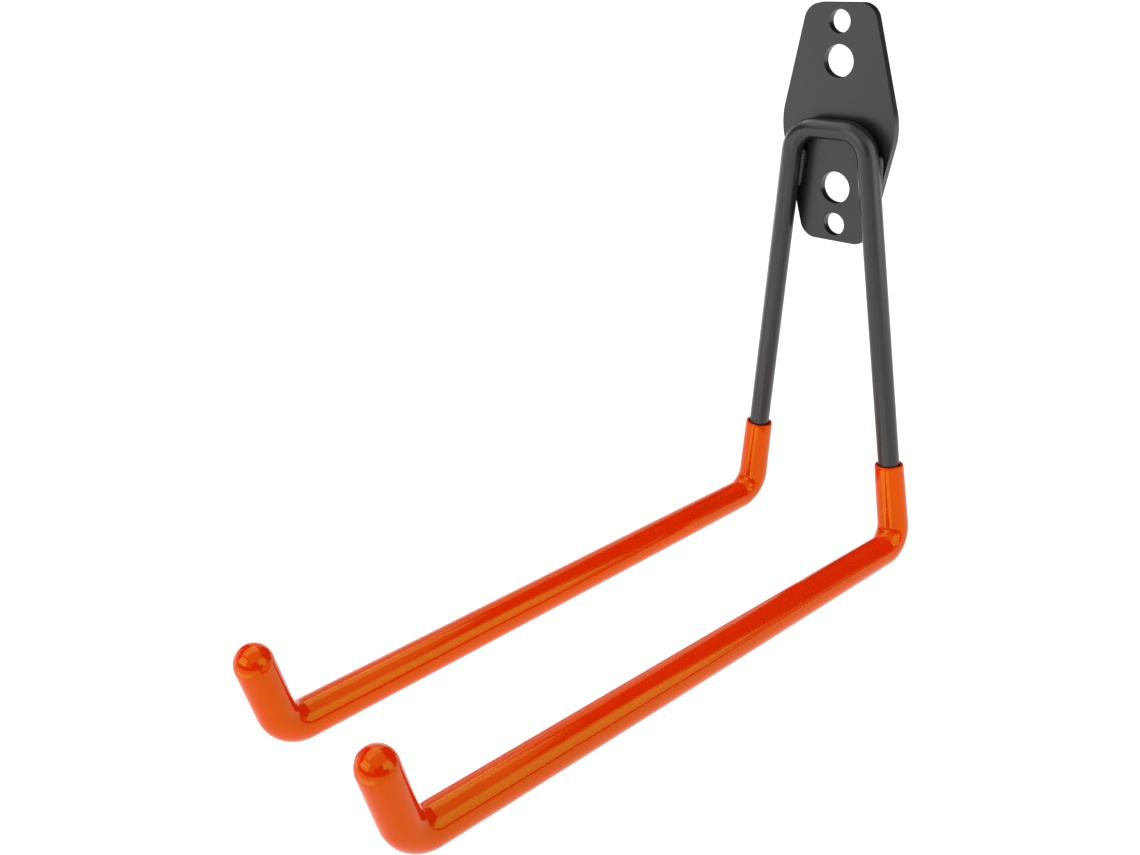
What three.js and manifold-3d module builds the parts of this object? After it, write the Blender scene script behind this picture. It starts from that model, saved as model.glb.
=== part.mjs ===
// Wall-mounted bicycle rack: a flat steel plate for the wall, one bent steel rod welded to its
// front, and a soft sleeve over each of the rod's two arms.
//
// Millimetres. The origin is the centre of the plate's back face, which lies against the wall.
// +Y points into the wall, +X to the right and +Z up; the arms reach out along -Y.

import * as THREE from 'three';
import { mergeVertices } from 'three/addons/utils/BufferGeometryUtils.js';
import Module from 'manifold-3d';

const wasm = await Module();
wasm.setup();

// ---- Driving dimensions ------------------------------------------------------------------

const GAP = 0.3; // left between pieces that touch

const PLATE = {
  height: 93.6,
  endWidth: 28.2, // of the top and bottom edges, to their virtual corners
  middleWidth: 50.8, // at mid height, to the virtual corners
  endCornerRadius: 6.8,
  middleCornerRadius: 26.5,
  thickness: 3,
  edgeRound: 0.6,
};

const SCREW_HOLES = [
  { height: 39.9, radius: 4.55 },
  { height: 24.9, radius: 6.4 },
  { height: -24.9, radius: 6.4 },
  { height: -39.9, radius: 4.55 },
];

const ROD = {
  radius: 4,
  crossbarHeight: -0.7,
  crossbarHalfSpan: 15.65, // to the virtual corner where the leg starts
  legSplay: THREE.MathUtils.degToRad(6.7),
  armHeight: -168.6,
  armLength: 252.8, // between virtual corners
  tipRise: THREE.MathUtils.degToRad(75.25), // above the horizontal
  tipLength: 31.4, // from the virtual corner to the centre of the sleeve's round end
  topBendRadius: 10.65,
  elbowBendRadius: 9.5,
  tipBendRadius: 12.1,
  endChamfer: 0.8,
};

const SLEEVE = {
  start: 146.5, // distance along the rod from the middle of the crossbar
  rimRadius: 5.4,
  rimRound: 0.5,
  tipRadius: 7.25,
  thickening: 0.62, // below 1, the sleeve thickens fastest near its rim
  endThickness: 3.4, // of the closed end, beyond the rod
};

const BEAD = {
  fromCorner: 9.5, // down the leg from its virtual top corner
  innerLength: 15,
  outerLength: 11,
  radius: 2.2,
  besideRod: 3.2, // from the leg's axis, along the plate
  abovePlate: 1.6,
};

const FACETS = {
  round: 18, // sides of the rod and the sleeves
  bendStep: THREE.MathUtils.degToRad(11.5),
  straightStep: 60,
  cornerSegments: 3, // of a plate corner or a quarter of a screw hole, doubled by arcs
  edgeSegments: 2,
  domeSteps: 6,
  rimSteps: 3,
  beadCap: 4,
  beadSides: 14,
};

const FORWARD = new THREE.Vector3(0, -1, 0);
const UP = new THREE.Vector3(0, 0, 1);
const BLANK_AXIS = new THREE.Vector3(0, 1, 0);
const ROD_AXIS_Y = -(PLATE.thickness + GAP + ROD.radius);
const LEFT = -1;
const RIGHT = 1;

// ---- Materials ---------------------------------------------------------------------------

const powderCoat = () =>
  new THREE.MeshStandardMaterial({ color: 0x37373a, roughness: 0.5, metalness: 0.0 });

const orangePvc = () =>
  new THREE.MeshStandardMaterial({ color: 0xdc4e05, roughness: 0.28, metalness: 0.0 });

// ---- A centre line of straight stretches and round bends ---------------------------------

// Every stretch gives, at a distance along it, the frame that carries a blank's cross-section
// there: the blank's own axis is Y, and its section lies in X and Z.

function straightStretch(start, end, facing) {
  const length = start.distanceTo(end);
  const along = end.clone().sub(start).normalize();
  return {
    length,
    steps: Math.ceil(length / FACETS.straightStep),
    facingAtEnd: facing,
    frameAt: (distance) => ({
      point: start.clone().addScaledVector(along, distance),
      facing,
    }),
  };
}

function roundBend(start, incoming, outgoing, radius, facing) {
  const turn = incoming.angleTo(outgoing);
  const hinge = incoming.clone().cross(outgoing).normalize();
  const toCentre = hinge.clone().cross(incoming);
  const facingAt = (angle) =>
    new THREE.Quaternion().setFromAxisAngle(hinge, angle).multiply(facing);
  return {
    length: radius * turn,
    steps: Math.ceil(turn / FACETS.bendStep),
    facingAtEnd: facingAt(turn),
    frameAt: (distance) => {
      const angle = distance / radius;
      const point = start.clone()
        .addScaledVector(incoming, radius * Math.sin(angle))
        .addScaledVector(toCentre, radius * (1 - Math.cos(angle)));
      return { point, facing: facingAt(angle) };
    },
  };
}

class CentreLine {
  constructor(corners, bendRadii) {
    this.stretches = [];
    this.length = 0;
    const directions = corners.slice(1).map((corner, i) => corner.clone().sub(corners[i]).normalize());
    let facing = new THREE.Quaternion().setFromUnitVectors(BLANK_AXIS, directions[0]);
    let from = corners[0];
    bendRadii.forEach((radius, i) => {
      const corner = corners[i + 1];
      const reach = radius * Math.tan(directions[i].angleTo(directions[i + 1]) / 2);
      const bendStart = corner.clone().addScaledVector(directions[i], -reach);
      this.add(straightStretch(from, bendStart, facing));
      const bend = roundBend(bendStart, directions[i], directions[i + 1], radius, facing);
      this.add(bend);
      facing = bend.facingAtEnd;
      from = corner.clone().addScaledVector(directions[i + 1], reach);
    });
    this.add(straightStretch(from, corners.at(-1), facing));
  }

  add(stretch) {
    this.stretches.push({ ...stretch, start: this.length });
    this.length += stretch.length;
  }

  frameAt(distance) {
    const stretch = this.stretches.findLast(({ start }) => start <= distance) ?? this.stretches[0];
    return stretch.frameAt(distance - stretch.start);
  }

  // Distances strictly between two others at which a blank needs a ring of vertices.
  ringsBetween(from, to) {
    const rings = this.stretches.flatMap(({ start, length, steps }) =>
      Array.from({ length: steps }, (_, i) => start + (length * (i + 1)) / steps));
    return rings.filter((distance) => distance > from && distance < to);
  }
}

// The corners of one side of the rack, from the middle of the crossbar to the sleeve's far end.
function sideCorners(side) {
  const drop = ROD.crossbarHeight - ROD.armHeight;
  const armOffset = ROD.crossbarHalfSpan + drop * Math.tan(ROD.legSplay);
  const middle = new THREE.Vector3(0, ROD_AXIS_Y, ROD.crossbarHeight);
  const shoulder = new THREE.Vector3(side * ROD.crossbarHalfSpan, ROD_AXIS_Y, ROD.crossbarHeight);
  const elbow = new THREE.Vector3(side * armOffset, ROD_AXIS_Y, ROD.armHeight);
  const armEnd = elbow.clone().addScaledVector(FORWARD, ROD.armLength);
  const tipDirection = FORWARD.clone().multiplyScalar(Math.cos(ROD.tipRise))
    .addScaledVector(UP, Math.sin(ROD.tipRise));
  const tip = armEnd.clone().addScaledVector(tipDirection, ROD.tipLength + SLEEVE.tipRadius);
  return [middle, shoulder, elbow, armEnd, tip];
}

const SIDE_BENDS = [ROD.topBendRadius, ROD.elbowBendRadius, ROD.tipBendRadius];

const sideLine = (side) => new CentreLine(sideCorners(side), SIDE_BENDS);

function wholeLine() {
  const corners = [...sideCorners(LEFT).slice(1).reverse(), ...sideCorners(RIGHT).slice(1)];
  return new CentreLine(corners, [...SIDE_BENDS].reverse().concat(SIDE_BENDS));
}

// ---- Shaping -----------------------------------------------------------------------------

// Turns a straight profile of (radius, distance) points and bends it along a centre line.
function bentLathe(profile, line) {
  const blank = new THREE.LatheGeometry(profile, FACETS.round);
  const places = blank.attributes.position;
  const vertex = new THREE.Vector3();
  for (let i = 0; i < places.count; i += 1) {
    vertex.fromBufferAttribute(places, i);
    const { point, facing } = line.frameAt(vertex.y);
    vertex.setY(0).applyQuaternion(facing).add(point);
    places.setXYZ(i, vertex.x, vertex.y, vertex.z);
  }
  return blank;
}

function toSolid(geometry) {
  const bare = geometry.clone();
  bare.deleteAttribute('normal');
  bare.deleteAttribute('uv');
  const merged = mergeVertices(bare);
  return new wasm.Manifold(new wasm.Mesh({
    numProp: 3,
    vertProperties: new Float32Array(merged.attributes.position.array),
    triVerts: new Uint32Array(merged.index.array),
  }));
}

function toGeometry(solid) {
  const { vertProperties, triVerts } = solid.getMesh();
  const geometry = new THREE.BufferGeometry();
  geometry.setAttribute('position', new THREE.BufferAttribute(vertProperties, 3));
  geometry.setIndex(new THREE.BufferAttribute(triVerts, 1));
  geometry.computeVertexNormals();
  return geometry;
}

// ---- Wall plate --------------------------------------------------------------------------

// A polygon whose corners are rounded by arcs, one radius for each corner.
function roundedPolygon(corners, radii) {
  const shape = new THREE.Shape();
  corners.forEach((corner, i) => {
    const before = corners.at(i - 1).clone().sub(corner).normalize();
    const after = corners[(i + 1) % corners.length].clone().sub(corner).normalize();
    const halfAngle = Math.acos(before.dot(after)) / 2;
    const centre = before.clone().add(after).normalize()
      .multiplyScalar(radii[i] / Math.sin(halfAngle)).add(corner);
    const reach = radii[i] / Math.tan(halfAngle);
    const start = before.multiplyScalar(reach).add(corner).sub(centre);
    const end = after.multiplyScalar(reach).add(corner).sub(centre);
    shape.absarc(centre.x, centre.y, radii[i], start.angle(), end.angle(), false);
  });
  shape.closePath();
  return shape;
}

function plateOutline() {
  const endHalf = PLATE.endWidth / 2;
  const middleHalf = PLATE.middleWidth / 2;
  const top = PLATE.height / 2;
  const corners = [
    [middleHalf, 0], [endHalf, top], [-endHalf, top],
    [-middleHalf, 0], [-endHalf, -top], [endHalf, -top],
  ].map(([x, z]) => new THREE.Vector2(x, z));
  const { middleCornerRadius: broad, endCornerRadius: tight } = PLATE;
  return roundedPolygon(corners, [broad, tight, tight, broad, tight, tight]);
}

function roundHole({ height, radius }) {
  const hole = new THREE.Path();
  const quarter = Math.PI / 2;
  for (let i = 0; i < 4; i += 1) {
    hole.absarc(0, height, radius, -i * quarter, -(i + 1) * quarter, true);
  }
  return hole;
}

// An outline drawn in X and Z, made solid from one distance in front of the wall to another.
function standingSlab(outline, back, front, edgeRound) {
  const slab = new THREE.ExtrudeGeometry(outline, {
    depth: front - back - 2 * edgeRound,
    curveSegments: FACETS.cornerSegments,
    bevelEnabled: edgeRound > 0,
    bevelThickness: edgeRound,
    bevelSize: edgeRound,
    bevelOffset: -edgeRound,
    bevelSegments: FACETS.edgeSegments,
  });
  slab.translate(0, 0, back + edgeRound);
  slab.rotateX(Math.PI / 2);
  return slab;
}

function wallPlate() {
  const outline = plateOutline();
  outline.holes = SCREW_HOLES.map(roundHole);
  return standingSlab(outline, 0, PLATE.thickness, PLATE.edgeRound);
}

// ---- Bent rod ----------------------------------------------------------------------------

function rodProfile(line, radius) {
  const start = SLEEVE.endThickness + GAP;
  const end = line.length - start;
  const chamfer = ROD.endChamfer;
  const rings = line.ringsBetween(start + chamfer, end - chamfer);
  return [
    new THREE.Vector2(0, start),
    new THREE.Vector2(radius - chamfer, start),
    new THREE.Vector2(radius, start + chamfer),
    ...rings.map((distance) => new THREE.Vector2(radius, distance)),
    new THREE.Vector2(radius, end - chamfer),
    new THREE.Vector2(radius - chamfer, end),
    new THREE.Vector2(0, end),
  ];
}

function bentRod(radius) {
  const line = wholeLine();
  return bentLathe(rodProfile(line, radius), line);
}

// ---- Arm sleeves -------------------------------------------------------------------------

function sleeveRadius(distance, domeCentre) {
  const progress = (distance - SLEEVE.start) / (domeCentre - SLEEVE.start);
  const growth = SLEEVE.tipRadius - SLEEVE.rimRadius;
  return SLEEVE.rimRadius + growth * progress ** SLEEVE.thickening;
}

// An arc of profile points about a centre, angles measured from outwards towards the far end.
function profileArc(centre, radius, fromAngle, toAngle, steps) {
  return Array.from({ length: steps + 1 }, (_, i) => {
    const angle = THREE.MathUtils.lerp(fromAngle, toAngle, i / steps);
    return new THREE.Vector2(
      Math.max(0, centre.x + radius * Math.cos(angle)),
      centre.y + radius * Math.sin(angle),
    );
  });
}

function armSleeve(side) {
  const line = sideLine(side);
  const domeCentre = line.length - SLEEVE.tipRadius;
  const boreRadius = ROD.radius + GAP;
  const boreEnd = line.length - SLEEVE.endThickness;
  const round = SLEEVE.rimRound;
  const boreRings = line.ringsBetween(SLEEVE.start, boreEnd).reverse();
  const outerRings = line.ringsBetween(SLEEVE.start + 2 * round, domeCentre);
  const rimCentre = new THREE.Vector2(SLEEVE.rimRadius - round, SLEEVE.start + round);
  const profile = [
    new THREE.Vector2(0, boreEnd),
    new THREE.Vector2(boreRadius, boreEnd),
    ...boreRings.map((distance) => new THREE.Vector2(boreRadius, distance)),
    new THREE.Vector2(boreRadius, SLEEVE.start),
    ...profileArc(rimCentre, round, -Math.PI / 2, 0, FACETS.rimSteps),
    ...outerRings.map((distance) =>
      new THREE.Vector2(sleeveRadius(distance, domeCentre), distance)),
    ...profileArc(new THREE.Vector2(0, domeCentre), SLEEVE.tipRadius, 0, Math.PI / 2, FACETS.domeSteps),
  ];
  return bentLathe(profile, line);
}

// ---- Weld beads --------------------------------------------------------------------------

// A bead lies in the corner between a leg and the plate. Away is 1 on the side of the leg that
// faces the plate's edge, and -1 on the side that faces its middle.
function weldBead(side, away, length, roomForBeads) {
  const bead = new THREE.CapsuleGeometry(BEAD.radius, length, FACETS.beadCap, FACETS.beadSides);
  const downLeg = BEAD.fromCorner + length / 2;
  bead.rotateX(Math.PI / 2);
  bead.translate(side * away * BEAD.besideRod, -(PLATE.thickness + BEAD.abovePlate), -downLeg);
  bead.rotateY(-side * ROD.legSplay);
  bead.translate(side * ROD.crossbarHalfSpan, 0, ROD.crossbarHeight);
  return toGeometry(toSolid(bead).intersect(roomForBeads));
}

// The space over the plate's face that the rod leaves free, a gap away from both.
function roomOverPlate() {
  const surface = PLATE.thickness + GAP;
  const overPlate = standingSlab(plateOutline(), surface, surface + 2 * ROD.radius, 0);
  return toSolid(overPlate).subtract(toSolid(bentRod(ROD.radius + GAP)));
}

// ---- Assembly ----------------------------------------------------------------------------

function named(name, geometry, material) {
  const mesh = new THREE.Mesh(geometry, material);
  mesh.name = name;
  return mesh;
}

const rack = new THREE.Group();
rack.add(named('wall_plate', wallPlate(), powderCoat()));
rack.add(named('bent_rod', bentRod(ROD.radius), powderCoat()));

const roomForBeads = roomOverPlate();
for (const [sideName, side] of [['left', LEFT], ['right', RIGHT]]) {
  rack.add(named(`${sideName}_arm_sleeve`, armSleeve(side), orangePvc()));
  const innerBead = weldBead(side, -1, BEAD.innerLength, roomForBeads);
  const outerBead = weldBead(side, 1, BEAD.outerLength, roomForBeads);
  rack.add(named(`${sideName}_inner_weld`, innerBead, powderCoat()));
  rack.add(named(`${sideName}_outer_weld`, outerBead, powderCoat()));
}

export default rack;
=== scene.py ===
"""The looks of a wall-mounted bicycle rack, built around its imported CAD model.

Every size is in metres, in the CAD model's own frame: the plate's back face lies in the plane
Y = 0, the arms reach out along -Y, +X is to the right and +Z is up.
"""

import logging
import math
from collections.abc import Callable, Sequence
from dataclasses import dataclass
from enum import Enum

import bpy
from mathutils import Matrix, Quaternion, Vector


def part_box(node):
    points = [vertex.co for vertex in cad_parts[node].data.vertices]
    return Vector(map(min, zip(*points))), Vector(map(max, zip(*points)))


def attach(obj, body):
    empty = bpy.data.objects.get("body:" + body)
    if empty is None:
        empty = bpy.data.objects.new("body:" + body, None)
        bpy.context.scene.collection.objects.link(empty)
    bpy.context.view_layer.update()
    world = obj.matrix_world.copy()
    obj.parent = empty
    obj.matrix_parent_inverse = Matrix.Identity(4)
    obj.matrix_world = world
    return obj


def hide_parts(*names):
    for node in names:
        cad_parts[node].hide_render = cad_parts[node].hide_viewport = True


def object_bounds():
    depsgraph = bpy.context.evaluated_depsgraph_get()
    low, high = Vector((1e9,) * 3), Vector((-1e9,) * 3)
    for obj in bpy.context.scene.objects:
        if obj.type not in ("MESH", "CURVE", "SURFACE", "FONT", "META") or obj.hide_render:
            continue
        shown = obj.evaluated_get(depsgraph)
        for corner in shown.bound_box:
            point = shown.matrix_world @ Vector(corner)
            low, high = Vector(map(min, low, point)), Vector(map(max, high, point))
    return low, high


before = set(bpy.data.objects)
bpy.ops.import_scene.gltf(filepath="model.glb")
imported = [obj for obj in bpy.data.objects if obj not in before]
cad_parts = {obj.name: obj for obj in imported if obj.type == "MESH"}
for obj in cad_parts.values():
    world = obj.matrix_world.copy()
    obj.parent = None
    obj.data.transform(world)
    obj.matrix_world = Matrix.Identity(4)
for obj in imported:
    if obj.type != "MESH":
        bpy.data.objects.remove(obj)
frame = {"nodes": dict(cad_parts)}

CAD_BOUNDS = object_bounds()
BODY = "root"
MM = 0.001
FORWARD = Vector((0.0, -1.0, 0.0))
UP = Vector((0.0, 0.0, 1.0))
LOG = logging.getLogger("bicycle_rack")


class Side(Enum):
    """The two arms of the rack, as seen from the front."""

    LEFT = -1
    RIGHT = 1


class Slot(Enum):
    """The record's material slots."""

    PLATE = "plate_coat"
    ROD = "rod_coat"
    SLEEVE = "sleeve"


# ---- Modelling by operators --------------------------------------------------------------


def start_clean() -> None:
    """Go back to object mode with nothing selected."""
    if bpy.context.object is not None and bpy.context.object.mode != "OBJECT":
        bpy.ops.object.mode_set(mode="OBJECT")
    bpy.ops.object.select_all(action="DESELECT")


def edit(piece: bpy.types.Object, select_mode: str = "VERT") -> None:
    """Open a piece in edit mode, keeping the selection that its mesh holds.

    Args:
        piece: The object to edit.
        select_mode: VERT, EDGE or FACE.
    """
    start_clean()
    bpy.context.view_layer.objects.active = piece
    piece.select_set(True)
    bpy.ops.object.mode_set(mode="EDIT")
    bpy.ops.mesh.select_mode(type=select_mode)


def select_edges(piece: bpy.types.Object, wanted: Callable[[Vector, Vector], bool]) -> None:
    """Open a piece in edit mode with only some of its edges selected.

    Args:
        piece: The object to edit.
        wanted: Says from an edge's two ends whether it is selected.
    """
    edit(piece, "EDGE")
    bpy.ops.mesh.select_all(action="DESELECT")
    bpy.ops.object.mode_set(mode="OBJECT")
    mesh = piece.data
    for edge in mesh.edges:
        first, last = (mesh.vertices[i].co for i in edge.vertices)
        edge.select = wanted(first, last)
    bpy.ops.object.mode_set(mode="EDIT")


def face_outwards(piece: bpy.types.Object) -> None:
    """Turn every face of a closed piece outwards and leave edit mode.

    Args:
        piece: The object to mend.
    """
    edit(piece)
    bpy.ops.mesh.select_all(action="SELECT")
    bpy.ops.mesh.normals_make_consistent(inside=False)
    bpy.ops.object.mode_set(mode="OBJECT")


def apply_modifier(piece: bpy.types.Object, kind: str, **settings: object) -> None:
    """Add a modifier to a piece and apply it at once.

    Args:
        piece: The object to change.
        kind: The modifier's type, such as BEVEL.
        settings: The modifier's properties by name.
    """
    start_clean()
    bpy.context.view_layer.objects.active = piece
    piece.select_set(True)
    modifier = piece.modifiers.new(kind.lower(), kind)
    for name, value in settings.items():
        setattr(modifier, name, value)
    bpy.ops.object.modifier_apply(modifier=modifier.name)


def smooth(piece: bpy.types.Object, sharp_above: float) -> None:
    """Shade a piece smooth, with edges above an angle kept sharp.

    Args:
        piece: The object to shade.
        sharp_above: The angle in degrees.
    """
    start_clean()
    bpy.context.view_layer.objects.active = piece
    piece.select_set(True)
    bpy.ops.object.shade_smooth_by_angle(angle=math.radians(sharp_above))


def mirrored_copy(piece: bpy.types.Object, name: str) -> bpy.types.Object:
    """Copy a piece to the other side of the plane X = 0, with a mesh of its own.

    Args:
        piece: The object to copy.
        name: The copy's name.

    Returns:
        The copy.
    """
    start_clean()
    bpy.context.view_layer.objects.active = piece
    piece.select_set(True)
    bpy.ops.object.duplicate(linked=False)
    copy = bpy.context.object
    copy.name = name
    edit(copy)
    bpy.ops.mesh.select_all(action="SELECT")
    bpy.ops.transform.resize(value=(-1.0, 1.0, 1.0), center_override=(0.0, 0.0, 0.0))
    face_outwards(copy)
    return copy


def check_closed(piece: bpy.types.Object) -> None:
    """Stop the script if a piece isn't one closed surface.

    Args:
        piece: The finished object.
    """
    uses: dict[tuple[int, int], int] = {}
    for face in piece.data.polygons:
        for key in face.edge_keys:
            uses[key] = uses.get(key, 0) + 1
    open_edges = sum(1 for count in uses.values() if count != 2)
    if open_edges:
        raise ValueError(f"{piece.name} has {open_edges} open edges")


# ---- Centre lines ------------------------------------------------------------------------


@dataclass(frozen=True)
class Straight:
    """A straight stretch of a centre line.

    Attributes:
        start: Where it starts.
        heading: Its direction, of length 1.
        length: Its length.
    """

    start: Vector
    heading: Vector
    length: float

    def point(self, distance: float) -> Vector:
        """The place at a distance along the stretch."""
        return self.start + self.heading * distance

    def carry_ring(self, from_distance: float, to_distance: float) -> None:
        """Extrude the selected ring of edges along the stretch."""
        move = self.heading * (to_distance - from_distance)
        bpy.ops.mesh.extrude_edges_move(TRANSFORM_OT_translate={"value": move})


@dataclass(frozen=True)
class Bend:
    """A stretch of a centre line along an arc of a circle.

    Attributes:
        start: Where it starts.
        heading: Its direction at the start, of length 1.
        outgoing: Its direction at the end, of length 1.
        radius: The arc's radius.
    """

    start: Vector
    heading: Vector
    outgoing: Vector
    radius: float

    @property
    def turn(self) -> float:
        """The angle between the two directions."""
        return self.heading.angle(self.outgoing)

    @property
    def length(self) -> float:
        """The arc's length."""
        return self.radius * self.turn

    @property
    def hinge(self) -> Vector:
        """The axis that the bend turns about, by the right-hand rule."""
        return self.heading.cross(self.outgoing).normalized()

    @property
    def centre(self) -> Vector:
        """The arc's centre."""
        return self.start + self.hinge.cross(self.heading) * self.radius

    def point(self, distance: float) -> Vector:
        """The place at a distance along the stretch."""
        angle = distance / self.radius
        inwards = self.hinge.cross(self.heading)
        along = self.heading * math.sin(angle)
        return self.start + (along + inwards * (1 - math.cos(angle))) * self.radius

    def carry_ring(self, from_distance: float, to_distance: float) -> None:
        """Spin the selected ring of edges round the bend."""
        angle = (to_distance - from_distance) / self.radius
        # The operator turns clockwise about its axis.
        bpy.ops.mesh.spin(steps=1, angle=-angle, center=self.centre, axis=self.hinge)


class CentreLine:
    """Straight stretches joined by round bends, measured by the distance along them."""

    def __init__(self, corners: Sequence[Vector], bend_radii: Sequence[float]) -> None:
        """Lay out the stretches.

        Args:
            corners: The two ends and the virtual corners between them.
            bend_radii: The radius of the bend at each virtual corner.
        """
        self.stretches: list[tuple[float, Straight | Bend]] = []
        self.length = 0.0
        headings = [(b - a).normalized() for a, b in zip(corners, corners[1:])]
        start = corners[0]
        for i, radius in enumerate(bend_radii):
            reach = radius * math.tan(headings[i].angle(headings[i + 1]) / 2)
            bend_start = corners[i + 1] - headings[i] * reach
            self._add(Straight(start, headings[i], (bend_start - start).length))
            self._add(Bend(bend_start, headings[i], headings[i + 1], radius))
            start = corners[i + 1] + headings[i + 1] * reach
        self._add(Straight(start, headings[-1], (corners[-1] - start).length))

    def _add(self, stretch: Straight | Bend) -> None:
        """Put a stretch at the end of the line."""
        self.stretches.append((self.length, stretch))
        self.length += stretch.length

    def _stretch_between(self, a: float, b: float) -> tuple[float, Straight | Bend]:
        """The stretch that holds the middle of two distances, and where it starts."""
        middle = (a + b) / 2
        held = [item for item in self.stretches if item[0] <= middle]
        return held[-1] if held else self.stretches[0]

    def point(self, distance: float) -> Vector:
        """The place at a distance along the line."""
        start, stretch = self._stretch_between(distance, distance)
        return stretch.point(distance - start)

    def carry_ring(self, from_distance: float, to_distance: float) -> None:
        """Carry the selected ring of edges to another distance within one stretch."""
        start, stretch = self._stretch_between(from_distance, to_distance)
        stretch.carry_ring(from_distance - start, to_distance - start)

    def rings(self, low: float, high: float, straight_step: float, bend_step: float) -> list[float]:
        """Distances between two others at which a tube needs a ring.

        Args:
            low: The smaller distance, not included.
            high: The larger distance, not included.
            straight_step: The longest step on a straight stretch.
            bend_step: The largest step on a bend, in radians.

        Returns:
            The distances, in rising order.
        """
        found: list[float] = []
        for start, stretch in self.stretches:
            span = stretch.length / straight_step
            if isinstance(stretch, Bend):
                span = stretch.turn / bend_step
            steps = max(1, math.ceil(span))
            found += [start + stretch.length * (i + 1) / steps for i in range(steps)]
        margin = 1e-5
        return [distance for distance in found if low + margin < distance < high - margin]


@dataclass(frozen=True)
class ProfilePoint:
    """A point of a tube's profile.

    Attributes:
        distance: Along the centre line.
        radius: From the centre line.
    """

    distance: float
    radius: float


def arc_profile(centre: ProfilePoint, radius: float, start: float, end: float,
                steps: int) -> list[ProfilePoint]:
    """Profile points along an arc.

    Args:
        centre: The arc's centre.
        radius: The arc's radius.
        start: The first angle in degrees, 0 pointing outwards and 90 along the centre line.
        end: The last angle in degrees.
        steps: How many steps the arc has.

    Returns:
        The points, without the first.
    """
    points = []
    for i in range(1, steps + 1):
        angle = math.radians(start + (end - start) * i / steps)
        outwards = max(0.0, centre.radius + radius * math.cos(angle))
        points.append(ProfilePoint(centre.distance + radius * math.sin(angle), outwards))
    return points


def sweep_tube(name: str, line: CentreLine, profile: Sequence[ProfilePoint],
               sides: int) -> bpy.types.Object:
    """Draw a closed tube by carrying a ring along a centre line.

    The first ring is a filled circle. Each step extrudes or spins the ring and scales it about
    its own centre. The last ring is merged to a point where its radius is nearly nothing, and
    filled otherwise.

    Args:
        name: The piece's name.
        line: The centre line.
        profile: The distances and radii of the rings, in order.
        sides: How many sides the tube has.

    Returns:
        The finished object.
    """
    start_clean()
    first = profile[0]
    ahead = 0.5 * MM if profile[-1].distance > first.distance else -0.5 * MM
    heading = line.point(first.distance + ahead) - line.point(first.distance)
    bpy.ops.mesh.primitive_circle_add(
        vertices=sides, radius=first.radius, fill_type="NGON",
        location=line.point(first.distance),
        rotation=heading.to_track_quat("Z", "Y").to_euler())
    piece = bpy.context.object
    piece.name = name
    bpy.ops.object.transform_apply(location=True, rotation=True, scale=True)
    edit(piece, "EDGE")
    bpy.ops.mesh.select_all(action="SELECT")
    here = first
    pole = 0.02 * MM
    for point in profile[1:]:
        line.carry_ring(here.distance, point.distance)
        scale = max(point.radius, pole) / here.radius
        centre = line.point(point.distance)
        bpy.ops.transform.resize(value=(scale, scale, scale), center_override=centre)
        here = ProfilePoint(point.distance, max(point.radius, pole))
    if here.radius <= pole:
        bpy.ops.mesh.merge(type="CENTER")
    else:
        bpy.ops.mesh.edge_face_add()
    face_outwards(piece)
    check_closed(piece)
    return piece


# ---- Finishes ----------------------------------------------------------------------------


def linear_colour(hex_colour: str) -> tuple[float, float, float, float]:
    """Turn a hex colour to linear light.

    Args:
        hex_colour: An sRGB colour such as "#dc4e05".

    Returns:
        The linear RGBA colour, opaque.
    """
    channels = []
    for i in (1, 3, 5):
        value = int(hex_colour[i:i + 2], 16) / 255
        channels.append(value / 12.92 if value <= 0.04045 else ((value + 0.055) / 1.055) ** 2.4)
    return (*channels, 1.0)


def pattern_scale(millimetres: float) -> float:
    """The scale that gives a noise texture features of a real size, on Object coordinates.

    Args:
        millimetres: The features' size.

    Returns:
        The texture's scale.
    """
    return 1.0 / (millimetres * MM)


def add_node(tree: bpy.types.NodeTree, kind: str, settings: dict | None = None,
             **sockets: object) -> bpy.types.Node:
    """Add a node with its settings, values and links.

    Args:
        tree: The node tree.
        kind: The node's type name, without its ShaderNode prefix.
        settings: The node's own properties by name.
        sockets: Each input by name, spaces as underscores or by _ and its number. An output
            socket is linked to it, and anything else becomes its value.

    Returns:
        The new node.
    """
    node = tree.nodes.new("ShaderNode" + kind)
    for name, value in (settings or {}).items():
        setattr(node, name, value)
    for name, value in sockets.items():
        key = int(name[1:]) if name[1:].isdigit() else name.replace("_", " ")
        if isinstance(value, bpy.types.NodeSocket):
            tree.links.new(value, node.inputs[key])
        else:
            node.inputs[key].default_value = value
    return node


def new_material(name: str) -> bpy.types.Material:
    """Make an empty node material.

    Args:
        name: The material's name.

    Returns:
        The material, without any nodes.
    """
    material = bpy.data.materials.new(name)
    material.use_nodes = True
    material.node_tree.nodes.clear()
    return material


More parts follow.
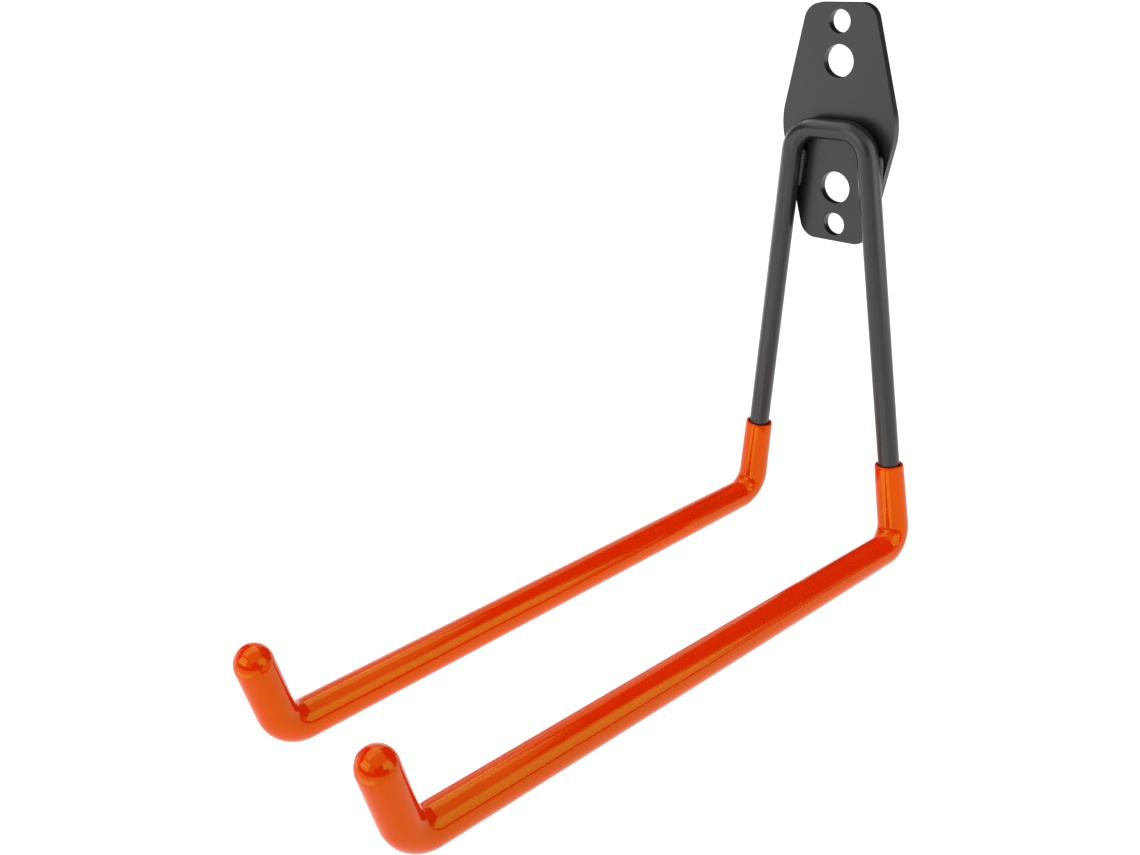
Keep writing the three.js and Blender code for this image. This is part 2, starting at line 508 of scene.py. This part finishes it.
@dataclass(frozen=True)
class PowderCoatedSteel:
    """Satin black polyester powder coat, sprayed on dry and baked until it flows.

    It gives soft, broad highlights, a fine orange peel and slightly uneven gloss.
    """

    name: str = "powder-coated steel, satin black"
    colour: str = "#131313"
    lighter: str = "#181818"
    roughness: float = 0.3
    ior: float = 1.56
    gloss_variation: float = 0.05
    peel_size_mm: float = 0.9
    grit_size_mm: float = 0.35
    grit_share: float = 0.35
    mottle_size_mm: float = 14.0
    peel_height: float = 0.012 * MM

    def build(self) -> bpy.types.Material:
        """Make the material."""
        material = new_material(self.name)
        tree = material.node_tree
        place = add_node(tree, "TexCoord").outputs["Object"]
        mottle = add_node(tree, "TexNoise", Vector=place, Detail=3.0,
                          Scale=pattern_scale(self.mottle_size_mm))
        colour = add_node(tree, "Mix", {"data_type": "RGBA"}, _0=mottle.outputs["Fac"],
                          _6=linear_colour(self.colour), _7=linear_colour(self.lighter))
        gloss = add_node(tree, "MapRange", Value=mottle.outputs["Fac"],
                         To_Min=self.roughness - self.gloss_variation,
                         To_Max=self.roughness + self.gloss_variation)
        peel = add_node(tree, "TexNoise", Vector=place, Detail=1.0,
                        Scale=pattern_scale(self.peel_size_mm))
        grit = add_node(tree, "TexNoise", Vector=place, Detail=0.0,
                        Scale=pattern_scale(self.grit_size_mm))
        texture = add_node(tree, "Math", {"operation": "MULTIPLY_ADD"}, _0=grit.outputs["Fac"],
                           _1=self.grit_share, _2=peel.outputs["Fac"])
        bump = add_node(tree, "Bump", Strength=1.0, Distance=self.peel_height,
                        Height=texture.outputs[0])
        shader = add_node(tree, "BsdfPrincipled", Base_Color=colour.outputs[2], IOR=self.ior,
                          Roughness=gloss.outputs[0], Normal=bump.outputs[0])
        add_node(tree, "OutputMaterial", Surface=shader.outputs[0])
        return material


@dataclass(frozen=True)
class DippedVinyl:
    """Orange PVC plastisol, dipped hot and cured, thick, soft and glossy.

    It gives a saturated body colour, clear reflections with soft edges, and the slow waves of a
    skin that ran a little before it set. The low IOR and strong tint keep what it reflects face
    on a vivid orange, so that it turns pale only towards its edges.
    """

    name: str = "plastisol-dipped PVC, orange"
    colour: str = "#e62c00"
    deeper: str = "#e12700"
    roughness: float = 0.12
    ior: float = 1.25
    wave_size_mm: float = 18.0
    wave_height: float = 0.02 * MM
    peel_size_mm: float = 2.2
    peel_height: float = 0.0008 * MM
    mottle_size_mm: float = 30.0
    reflection: tuple[float, float, float, float] = (1.4, 4.8, 0.3, 1.0)

    def build(self) -> bpy.types.Material:
        """Make the material."""
        material = new_material(self.name)
        tree = material.node_tree
        place = add_node(tree, "TexCoord").outputs["Object"]
        mottle = add_node(tree, "TexNoise", Vector=place, Detail=2.0,
                          Scale=pattern_scale(self.mottle_size_mm))
        colour = add_node(tree, "Mix", {"data_type": "RGBA"}, _0=mottle.outputs["Fac"],
                          _6=linear_colour(self.colour), _7=linear_colour(self.deeper))
        waves = add_node(tree, "TexNoise", Vector=place, Detail=0.0,
                         Scale=pattern_scale(self.wave_size_mm))
        slow = add_node(tree, "Bump", Strength=1.0, Distance=self.wave_height,
                        Height=waves.outputs["Fac"])
        peel = add_node(tree, "TexNoise", Vector=place, Detail=0.0,
                        Scale=pattern_scale(self.peel_size_mm))
        fine = add_node(tree, "Bump", Strength=1.0, Distance=self.peel_height,
                        Height=peel.outputs["Fac"], Normal=slow.outputs[0])
        shader = add_node(tree, "BsdfPrincipled", Base_Color=colour.outputs[2], IOR=self.ior,
                          Roughness=self.roughness, Normal=fine.outputs[0],
                          Specular_Tint=self.reflection)
        add_node(tree, "OutputMaterial", Surface=shader.outputs[0])
        return material


@dataclass(frozen=True)
class LitPaper:
    """White translucent paper lit evenly from behind.

    It gives a plain white ground with no shadows. It is bright enough to hide its own mottling.
    """

    name: str = "translucent studio paper, lit from behind"
    colour: str = "#ffffff"
    shade: str = "#fbfbfb"
    glow: float = 1.25
    mottle_size_mm: float = 400.0

    def build(self) -> bpy.types.Material:
        """Make the material."""
        material = new_material(self.name)
        tree = material.node_tree
        place = add_node(tree, "TexCoord").outputs["Object"]
        mottle = add_node(tree, "TexNoise", Vector=place, Detail=2.0,
                          Scale=pattern_scale(self.mottle_size_mm))
        colour = add_node(tree, "Mix", {"data_type": "RGBA"}, _0=mottle.outputs["Fac"],
                          _6=linear_colour(self.colour), _7=linear_colour(self.shade))
        shader = add_node(tree, "BsdfPrincipled", Base_Color=(0.0, 0.0, 0.0, 1.0),
                          Roughness=1.0, Specular_IOR_Level=0.0,
                          Emission_Color=colour.outputs[2], Emission_Strength=self.glow)
        add_node(tree, "OutputMaterial", Surface=shader.outputs[0])
        return material


def dress(piece: bpy.types.Object, material: bpy.types.Material, slot: Slot,
          *replaced: str) -> bpy.types.Object:
    """Finish a piece: its material, its place on the frame and what it stands for.

    Args:
        piece: The object to finish.
        material: Its material.
        slot: The record's material slot. It is not used.
        replaced: The CAD nodes that it stands for.

    Returns:
        The same piece.
    """
    piece.data.materials.clear()
    piece.data.materials.append(material)
    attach(piece, BODY)
    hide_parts(*replaced)
    triangles = sum(len(face.vertices) - 2 for face in piece.data.polygons)
    LOG.info("%s: %d triangles, %s", piece.name, triangles, material.name)
    return piece


# ---- Wall plate --------------------------------------------------------------------------


@dataclass(frozen=True)
class ScrewHole:
    """A round hole through the plate, on its centre line.

    Attributes:
        height: Of its centre, above the plate's centre.
        radius: Of its straight wall.
    """

    height: float
    radius: float


@dataclass
class WallPlate:
    """The flat six-sided plate that is screwed to the wall.

    Attributes:
        edge_above: The angle between faces, in degrees, from which an edge is rounded.
        sharp_above: The angle in degrees from which an edge is shaded sharp.
    """

    end_width: float = 28.2 * MM
    end_corner_radius: float = 6.8 * MM
    middle_corner_radius: float = 26.5 * MM
    middle_width: float = 50.8 * MM
    edge_round: float = 0.7 * MM
    end_corner_segments: int = 12
    middle_corner_segments: int = 10
    edge_segments: int = 5
    hole_sides: int = 72
    edge_above: float = 40.0
    sharp_above: float = 50.0
    holes: tuple[ScrewHole, ...] = (
        ScrewHole(39.9 * MM, 4.55 * MM), ScrewHole(24.9 * MM, 6.4 * MM),
        ScrewHole(-24.9 * MM, 6.4 * MM), ScrewHole(-39.9 * MM, 4.55 * MM))

    def __post_init__(self) -> None:
        """Read the plate's place from the frame."""
        low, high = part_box("wall_plate")
        self.half_height = (high.z - low.z) / 2
        self.thickness = high.y - low.y
        self.centre = (low + high) / 2

    @property
    def front(self) -> float:
        """The Y of its front face."""
        return self.centre.y - self.thickness / 2

    def half_width(self, height: float) -> float:
        """Half of its width at a height above its centre, between the rounded corners."""
        share = abs(height) / self.half_height
        return (self.middle_width + (self.end_width - self.middle_width) * share) / 2

    def _blank(self) -> bpy.types.Object:
        """Stretch a six-sided disc to the plate's outline, with sharp corners."""
        start_clean()
        radius = self.middle_width / 2
        bpy.ops.mesh.primitive_cylinder_add(
            vertices=6, radius=radius, depth=self.thickness, location=self.centre,
            rotation=(math.pi / 2, math.pi / 6, 0.0))
        plate = bpy.context.object
        plate.name = "coated_wall_plate"
        bpy.ops.object.transform_apply(location=True, rotation=True, scale=True)
        edit(plate)
        bpy.ops.mesh.select_all(action="SELECT")
        tall = self.half_height / (radius * math.sin(math.pi / 3))
        bpy.ops.transform.resize(value=(1.0, 1.0, tall), center_override=self.centre)
        select_edges(plate, lambda a, b: abs(a.z) > MM and abs(b.z) > MM)
        narrow = self.end_width / radius
        bpy.ops.transform.resize(value=(narrow, 1.0, 1.0), center_override=self.centre)
        return plate

    def _round_corners(self, plate: bpy.types.Object) -> None:
        """Bevel the upright edges of the outline to their radii."""
        end_half = self.end_width / 2
        slope = math.atan2(self.middle_width / 2 - end_half, self.half_height)
        end_reach = self.end_corner_radius * math.tan((math.pi / 2 - slope) / 2)
        middle_reach = self.middle_corner_radius * math.tan(slope)

        def crosses_plate(a: Vector, b: Vector) -> bool:
            """Whether an edge runs from the back face to the front."""
            return abs(a.y - b.y) > self.thickness / 2

        select_edges(plate, lambda a, b: crosses_plate(a, b) and abs(a.z) > MM)
        bpy.ops.mesh.bevel(offset=end_reach, segments=self.end_corner_segments, affect="EDGES")
        # Only the two middle corners are this close to the plate's centre height.
        select_edges(plate, lambda a, b: crosses_plate(a, b) and abs(a.z) < MM)
        bpy.ops.mesh.bevel(offset=middle_reach, segments=self.middle_corner_segments, affect="EDGES")

    def _drill(self, plate: bpy.types.Object, hole: ScrewHole) -> None:
        """Cut one screw hole."""
        start_clean()
        place = self.centre + UP * hole.height
        bpy.ops.mesh.primitive_cylinder_add(
            vertices=self.hole_sides, radius=hole.radius, depth=3 * self.thickness, location=place,
            rotation=(math.pi / 2, 0.0, 0.0))
        drill = bpy.context.object
        apply_modifier(plate, "BOOLEAN", operation="DIFFERENCE", object=drill, solver="EXACT")
        bpy.data.objects.remove(drill)

    def build(self, coat: bpy.types.Material) -> bpy.types.Object:
        """Make the plate.

        Args:
            coat: Its material.

        Returns:
            The finished piece.
        """
        plate = self._blank()
        self._round_corners(plate)
        for hole in self.holes:
            self._drill(plate, hole)
        apply_modifier(plate, "BEVEL", width=self.edge_round, segments=self.edge_segments,
                       limit_method="ANGLE", angle_limit=math.radians(self.edge_above))
        face_outwards(plate)
        smooth(plate, self.sharp_above)
        apply_modifier(plate, "WEIGHTED_NORMAL", keep_sharp=True)
        check_closed(plate)
        return dress(plate, coat, Slot.PLATE, "wall_plate")


# ---- Rod and sleeves ---------------------------------------------------------------------


@dataclass
class RackFrame:
    """Where the rod runs, and the sleeves on it.

    Attributes:
        crossbar_half_span: From its middle to the virtual corner where a leg starts.
        arm_length: Between the virtual corners at its two ends.
        tip_length: From the virtual corner to the centre of the sleeve's round end.
        tip_rise: The tips' angle above the horizontal.
    """

    rod_radius: float = 4.0 * MM
    crossbar_half_span: float = 15.65 * MM
    arm_length: float = 252.8 * MM
    tip_length: float = 31.4 * MM
    tip_rise: float = math.radians(75.25)
    top_bend: float = 10.65 * MM
    elbow_bend: float = 9.5 * MM
    tip_bend: float = 12.1 * MM
    sleeve_tip_radius: float = 7.25 * MM

    def __post_init__(self) -> None:
        """Read the rod's place from the frame."""
        low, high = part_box("bent_rod")
        self.axis_y = high.y - self.rod_radius
        self.crossbar_height = high.z - self.rod_radius
        self.arm_height = low.z + self.rod_radius
        self.arm_offset = high.x - self.rod_radius

    @property
    def bends(self) -> list[float]:
        """The radii of the bends from the crossbar to the tip."""
        return [self.top_bend, self.elbow_bend, self.tip_bend]

    def corners(self, side: Side) -> list[Vector]:
        """The virtual corners of one side, from the crossbar's middle to the sleeve's end."""
        x = side.value
        tip_heading = FORWARD * math.cos(self.tip_rise) + UP * math.sin(self.tip_rise)
        shoulder = Vector((x * self.crossbar_half_span, self.axis_y, self.crossbar_height))
        elbow = Vector((x * self.arm_offset, self.axis_y, self.arm_height))
        arm_end = elbow + FORWARD * self.arm_length
        tip = arm_end + tip_heading * (self.tip_length + self.sleeve_tip_radius)
        middle = Vector((0.0, self.axis_y, self.crossbar_height))
        return [middle, shoulder, elbow, arm_end, tip]

    def side_line(self, side: Side) -> CentreLine:
        """The centre line of one side."""
        return CentreLine(self.corners(side), self.bends)

    def whole_line(self) -> CentreLine:
        """The centre line from the left tip to the right tip."""
        left = self.corners(Side.LEFT)[:0:-1]
        return CentreLine(left + self.corners(Side.RIGHT)[1:], self.bends[::-1] + self.bends)

    def on_leg(self, side: Side, below_shoulder: float) -> Vector:
        """A point on a leg's axis.

        Args:
            side: Which leg.
            below_shoulder: How far its height is below the crossbar's.

        Returns:
            The point.
        """
        _, shoulder, elbow, *_ = self.corners(side)
        return shoulder.lerp(elbow, below_shoulder / (shoulder.z - elbow.z))


@dataclass
class BentRod:
    """The round steel rod, bent to a U with two arms and two upturned tips.

    Attributes:
        frame: Where it runs.
        end_setback: How far it stops short of the sleeves' closed ends.
        sharp_above: The angle in degrees from which an edge is shaded sharp.
    """

    frame: RackFrame
    end_setback: float = 3.7 * MM
    end_chamfer: float = 0.8 * MM
    sides: int = 56
    straight_step: float = 20 * MM
    bend_step: float = math.radians(5)
    sharp_above: float = 35.0

    def build(self, coat: bpy.types.Material) -> bpy.types.Object:
        """Make the rod.

        Args:
            coat: Its material.

        Returns:
            The finished piece.
        """
        line = self.frame.whole_line()
        radius = self.frame.rod_radius
        start = self.end_setback
        end = line.length - start
        chamfer = self.end_chamfer
        rings = line.rings(start + chamfer, end - chamfer, self.straight_step, self.bend_step)
        profile = [
            ProfilePoint(start, radius - chamfer),
            ProfilePoint(start + chamfer, radius),
            *[ProfilePoint(distance, radius) for distance in rings],
            ProfilePoint(end - chamfer, radius),
            ProfilePoint(end, radius - chamfer),
        ]
        rod = sweep_tube("coated_rod", line, profile, self.sides)
        smooth(rod, self.sharp_above)
        return dress(rod, coat, Slot.ROD, "bent_rod")


@dataclass
class ArmSleeves:
    """The two soft sleeves, open at their rims on the legs and closed over the tips.

    Attributes:
        frame: Where they run.
        rim_distance: From the crossbar's middle to their rims, along the rod.
        thickening: The exponent of their growth in girth. Below 1 they grow fastest near the rim.
        sharp_above: The angle in degrees from which an edge is shaded sharp.
    """

    frame: RackFrame
    rim_distance: float = 146.5 * MM
    rim_radius: float = 5.4 * MM
    rim_round: float = 0.5 * MM
    bore_radius: float = 4.25 * MM
    thickening: float = 0.62
    end_thickness: float = 3.4 * MM
    sides: int = 72
    inner_lip_steps: int = 3
    outer_lip_steps: int = 5
    dome_steps: int = 16
    straight_step: float = 8 * MM
    bend_step: float = math.radians(4)
    sharp_above: float = 60.0

    def _girth(self, distance: float, dome_centre: float) -> float:
        """The outer radius at a distance along the rod."""
        progress = (distance - self.rim_distance) / (dome_centre - self.rim_distance)
        growth = self.frame.sleeve_tip_radius - self.rim_radius
        return self.rim_radius + growth * max(0.0, progress) ** self.thickening

    def _right(self) -> bpy.types.Object:
        """Draw the right sleeve."""
        line = self.frame.side_line(Side.RIGHT)
        tip_radius = self.frame.sleeve_tip_radius
        dome_centre = line.length - tip_radius
        bore_end = line.length - self.end_thickness
        rim, lip = self.rim_distance, self.rim_round
        bore = line.rings(rim + lip, bore_end, 4 * self.straight_step, 2 * self.bend_step)
        outside = line.rings(rim + lip, dome_centre, self.straight_step, self.bend_step)
        outer_lip = ProfilePoint(rim + lip, self.rim_radius - lip)
        inner_lip = ProfilePoint(rim + lip / 2, self.bore_radius + lip / 2)
        profile = [
            ProfilePoint(bore_end, self.bore_radius),
            *[ProfilePoint(distance, self.bore_radius) for distance in reversed(bore)],
            ProfilePoint(rim + lip / 2, self.bore_radius),
            *arc_profile(inner_lip, lip / 2, 180, 270, self.inner_lip_steps),
            *arc_profile(outer_lip, lip, -90, 0, self.outer_lip_steps),
            *[ProfilePoint(distance, self._girth(distance, dome_centre)) for distance in outside],
            ProfilePoint(dome_centre, tip_radius),
            *arc_profile(ProfilePoint(dome_centre, 0.0), tip_radius, 0, 90, self.dome_steps),
        ]
        sleeve = sweep_tube("right_vinyl_sleeve", line, profile, self.sides)
        smooth(sleeve, self.sharp_above)
        return sleeve

    def build(self, vinyl: bpy.types.Material) -> list[bpy.types.Object]:
        """Make one sleeve and mirror it.

        Args:
            vinyl: Their material.

        Returns:
            The finished pieces.
        """
        right = self._right()
        left = mirrored_copy(right, "left_vinyl_sleeve")
        return [dress(right, vinyl, Slot.SLEEVE, "right_arm_sleeve"),
                dress(left, vinyl, Slot.SLEEVE, "left_arm_sleeve")]


# ---- Weld beads --------------------------------------------------------------------------


class Flank(Enum):
    """The two sides of a leg that a weld bead runs along."""

    INNER = -1
    OUTER = 1


@dataclass
class WeldBeads:
    """The rippled fillet welds along one flank of both legs, in the corner with the plate.

    Attributes:
        frame: Where the legs run.
        plate: What they are welded to.
        flank: The side of the legs that they run along.
        inner_bottom: How far below the crossbar the inner beads end.
        outer_bottom: How far below the crossbar the outer beads end.
        end_squareness: The exponent of their rounded ends. A higher one gives blunter ends.
        taper: How much thinner they are at the bottom, as a share of their radius.
        sharp_above: The angle in degrees from which an edge is shaded sharp.
    """

    frame: RackFrame
    plate: WallPlate
    flank: Flank
    radius: float = 1.9 * MM
    above_plate: float = 1.4 * MM
    beside_rod: float = 3.1 * MM
    top_below_shoulder: float = 9.0 * MM
    inner_bottom: float = 25.0 * MM
    outer_bottom: float = 23.5 * MM
    ripple_pitch: float = 1.3 * MM
    ripple_depth: float = 0.035
    ripple_steps: int = 6
    end_squareness: int = 5
    least_radius: float = 0.3 * MM
    taper: float = 0.35
    sides: int = 20
    sharp_above: float = 60.0

    @property
    def bottom_below_shoulder(self) -> float:
        """How far below the crossbar the bead ends."""
        return self.inner_bottom if self.flank is Flank.INNER else self.outer_bottom

    def _place(self, below_shoulder: float) -> Vector:
        """A point on the bead's axis, drawn in where the plate's edge runs under the rod."""
        on_rod = self.frame.on_leg(Side.RIGHT, below_shoulder)
        beside = self.beside_rod
        if self.flank is Flank.OUTER:
            room = self.plate.half_width(on_rod.z) - on_rod.x
            beside = min(beside, room)
        shift = self.flank.value * beside
        return Vector((on_rod.x + shift, self.plate.front - self.above_plate, on_rod.z))

    def _right(self, name: str) -> bpy.types.Object:
        """Draw the right leg's bead, thinner towards its lower end."""
        ends = [self._place(self.top_below_shoulder), self._place(self.bottom_below_shoulder)]
        line = CentreLine(ends, [])
        steps = round(line.length / self.ripple_pitch) * self.ripple_steps
        profile = []
        for i in range(steps + 1):
            share = i / steps
            rounding = max(0.0, 1 - abs(2 * share - 1) ** self.end_squareness) ** 0.5
            ripple = 1 + self.ripple_depth * math.cos(2 * math.pi * i / self.ripple_steps)
            radius = self.radius * rounding * ripple * (1 - self.taper * share)
            profile.append(ProfilePoint(share * line.length, max(radius, self.least_radius)))
        bead = sweep_tube(name, line, profile, self.sides)
        smooth(bead, self.sharp_above)
        return bead

    def build(self, coat: bpy.types.Material) -> list[bpy.types.Object]:
        """Make one bead and mirror it.

        Args:
            coat: Their material.

        Returns:
            The finished pieces.
        """
        flank = self.flank.name.lower()
        right = self._right(f"right_{flank}_weld_bead")
        left = mirrored_copy(right, f"left_{flank}_weld_bead")
        return [dress(right, coat, Slot.ROD, f"right_{flank}_weld"),
                dress(left, coat, Slot.ROD, f"left_{flank}_weld")]


# ---- Studio ------------------------------------------------------------------------------


class Wall(Enum):
    """The sides of the light tent, each with the way it shines and how far out it hangs."""

    LEFT = ((1.0, 0.0, 0.0), 0.45)
    RIGHT = ((-1.0, 0.0, 0.0), 0.45)
    FRONT = ((0.0, 1.0, 0.0), 0.75)
    TOP = ((0.0, 0.0, -1.0), 0.57)

    @property
    def shine(self) -> Vector:
        """The direction in which its panels shine."""
        return Vector(self.value[0])

    def place(self, along: float, up: float) -> Vector:
        """A point of the wall.

        Args:
            along: Its Y on the left and right walls, and its X on the others.
            up: Its height, or its Y on the top wall.

        Returns:
            The point.
        """
        outwards = -self.shine * self.value[1]
        if self is Wall.TOP:
            return Vector((along, up, outwards.z))
        if self is Wall.FRONT:
            return Vector((along, outwards.y, up))
        return Vector((outwards.x, along, up))


@dataclass(frozen=True)
class Panel:
    """A rectangular soft light on one side of the tent.

    Attributes:
        name: Its name.
        wall: The side of the tent that it hangs on.
        along: Where it starts and ends along the wall.
        up: Where it starts and ends up the wall.
        radiance: How bright its face is, 1 being just white.
    """

    name: str
    wall: Wall
    along: tuple[float, float]
    up: tuple[float, float]
    radiance: float

    def build(self) -> None:
        """Hang the panel."""
        low = self.wall.place(self.along[0], self.up[0])
        high = self.wall.place(self.along[1], self.up[1])
        shine = self.wall.shine
        reach = high - low
        width = reach.y if abs(shine.x) > 0 else reach.x
        height = reach.y if abs(shine.z) > 0 else reach.z
        data = bpy.data.lights.new(self.name, "AREA")
        data.shape = "RECTANGLE"
        data.size, data.size_y = width, height
        data.energy = math.pi * width * height * self.radiance
        panel = bpy.data.objects.new(self.name, data)
        panel.location = (low + high) / 2
        panel.rotation_euler = (-shine).to_track_quat("Z", "Y").to_euler()
        panel.visible_camera = False
        bpy.context.scene.collection.objects.link(panel)


def view_back(bearing: float, elevation: float) -> Vector:
    """The direction from the rack towards a viewer.

    Args:
        bearing: In degrees, 0 in front and 90 to the right.
        elevation: Above the horizon, in degrees.

    Returns:
        The direction, of length 1.
    """
    turn, rise = math.radians(bearing), math.radians(elevation)
    return Vector((math.sin(turn) * math.cos(rise), -math.cos(turn) * math.cos(rise),
                   math.sin(rise)))


@dataclass
class Studio:
    """The floor and backdrop, the light tent and the camera.

    Attributes:
        floor_drop: How far the floor lies below the rack.
        camera_bearing: In degrees, 0 in front and 90 to the right.
        camera_elevation: Above the horizon, in degrees.
        camera_roll: About the camera's own axis, in degrees.
        camera_distance: From the aim.
        aim_depth: The aim's place from the wall to the arms' far ends, as a share.
        aim_height: The aim's Z.
        room_glow: How bright the room beyond the tent is.
    """

    floor_drop: float = 1.1
    floor_size: float = 60.0
    backdrop_radius: float = 12.0
    backdrop_height: float = 14.0
    backdrop_sides: int = 96
    room_glow: float = 0.03
    panels: tuple[Panel, ...] = (
        Panel("top_left_panel", Wall.TOP, (-0.45, -0.10), (-0.75, 0.28), 1.9),
        Panel("top_panel", Wall.TOP, (-0.10, 0.45), (-0.75, 0.26), 0.8),
        Panel("left_high_front_panel", Wall.LEFT, (-0.72, -0.10), (0.29, 0.55), 1.7),
        Panel("left_high_panel", Wall.LEFT, (-0.10, 0.20), (0.29, 0.55), 2.8),
        Panel("left_rear_panel", Wall.LEFT, (0.20, 0.43), (0.03, 0.55), 0.9),
        Panel("left_middle_panel", Wall.LEFT, (-0.10, 0.20), (0.03, 0.29), 0.75),
        Panel("left_low_panel", Wall.LEFT, (-0.10, 0.43), (-0.23, 0.03), 1.0),
        Panel("left_front_panel", Wall.LEFT, (-0.72, -0.26), (-0.23, 0.03), 0.7),
        Panel("right_high_panel", Wall.RIGHT, (-0.72, 0.43), (0.33, 0.55), 1.0),
        Panel("right_key_panel", Wall.RIGHT, (-0.26, 0.33), (0.03, 0.33), 2.0),
        Panel("right_rear_panel", Wall.RIGHT, (0.25, 0.43), (-0.23, 0.03), 0.5),
        Panel("right_low_key_panel", Wall.RIGHT, (-0.10, 0.25), (-0.12, 0.03), 1.7),
        Panel("front_left_panel", Wall.FRONT, (-0.45, 0.10), (0.0, 0.45), 2.5),
        Panel("front_right_panel", Wall.FRONT, (0.10, 0.45), (0.03, 0.55), 0.6),
        Panel("front_low_panel", Wall.FRONT, (-0.45, 0.45), (-0.60, -0.33), 1.13),
    )
    camera_bearing: float = 56.868
    camera_elevation: float = 18.924
    camera_roll: float = -5.966
    camera_distance: float = 0.36706
    lens: float = 39.244
    sensor_width: float = 36.0
    nearest_seen: float = 0.01
    shift: tuple[float, float] = (0.1964, -0.0954)
    aim_depth: float = 0.8704
    aim_height: float = -0.01394

    def _floor(self) -> None:
        """Lay the floor well below the rack."""
        low, _ = CAD_BOUNDS
        start_clean()
        bpy.ops.mesh.primitive_plane_add(size=self.floor_size,
                                         location=(0.0, 0.0, low[2] - self.floor_drop))
        self._dress_stage("studio_floor")

    def _backdrop(self) -> None:
        """Stand a round wall on the floor. It is only seen, and lights nothing."""
        low, _ = CAD_BOUNDS
        start_clean()
        middle = low[2] - self.floor_drop + self.backdrop_height / 2
        bpy.ops.mesh.primitive_cylinder_add(
            vertices=self.backdrop_sides, radius=self.backdrop_radius, depth=self.backdrop_height,
            end_fill_type="NOTHING", location=(0.0, 0.0, middle))
        backdrop = self._dress_stage("studio_backdrop")
        backdrop.visible_diffuse = False
        backdrop.visible_glossy = False

    def _dress_stage(self, name: str) -> bpy.types.Object:
        """Name and dress the active object as part of the stage."""
        piece = bpy.context.object
        piece.name = name
        piece.data.materials.append(LitPaper().build())
        return piece

    def _surroundings(self) -> None:
        """Leave the room beyond the tent dark."""
        world = bpy.data.worlds.new("dim_room")
        world.use_nodes = True
        tree = world.node_tree
        tree.nodes.clear()
        white = linear_colour("#ffffff")
        background = add_node(tree, "Background", Color=white, Strength=self.room_glow)
        add_node(tree, "OutputWorld", Surface=background.outputs[0])
        bpy.context.scene.world = world

    def _camera(self) -> None:
        """Set up the camera."""
        low, high = CAD_BOUNDS
        aim = Vector((0.0, high[1] + (low[1] - high[1]) * self.aim_depth, self.aim_height))
        data = bpy.data.cameras.new("camera")
        data.lens = self.lens
        data.sensor_width = self.sensor_width
        data.shift_x, data.shift_y = self.shift
        data.clip_start = self.nearest_seen
        camera = bpy.data.objects.new("camera", data)
        back = view_back(self.camera_bearing, self.camera_elevation)
        roll = Quaternion(back, math.radians(self.camera_roll))
        camera.location = aim + back * self.camera_distance
        camera.rotation_euler = (roll @ back.to_track_quat("Z", "Y")).to_euler()
        bpy.context.scene.collection.objects.link(camera)
        bpy.context.scene.camera = camera

    def build(self) -> None:
        """Make the studio."""
        self._camera()
        self._floor()
        self._backdrop()
        self._surroundings()
        for panel in self.panels:
            panel.build()
        bpy.context.scene.view_settings.view_transform = "Standard"


def main() -> None:
    """Build the rack piece by piece, then the studio round it."""
    logging.basicConfig(level=logging.INFO, format="%(name)s: %(message)s")
    coat = PowderCoatedSteel().build()
    vinyl = DippedVinyl().build()
    plate = WallPlate()
    plate.build(coat)
    rack = RackFrame()
    BentRod(rack).build(coat)
    ArmSleeves(rack).build(vinyl)
    for flank in Flank:
        WeldBeads(rack, plate, flank).build(coat)
    Studio().build()


if __name__ == "__main__":
    main()
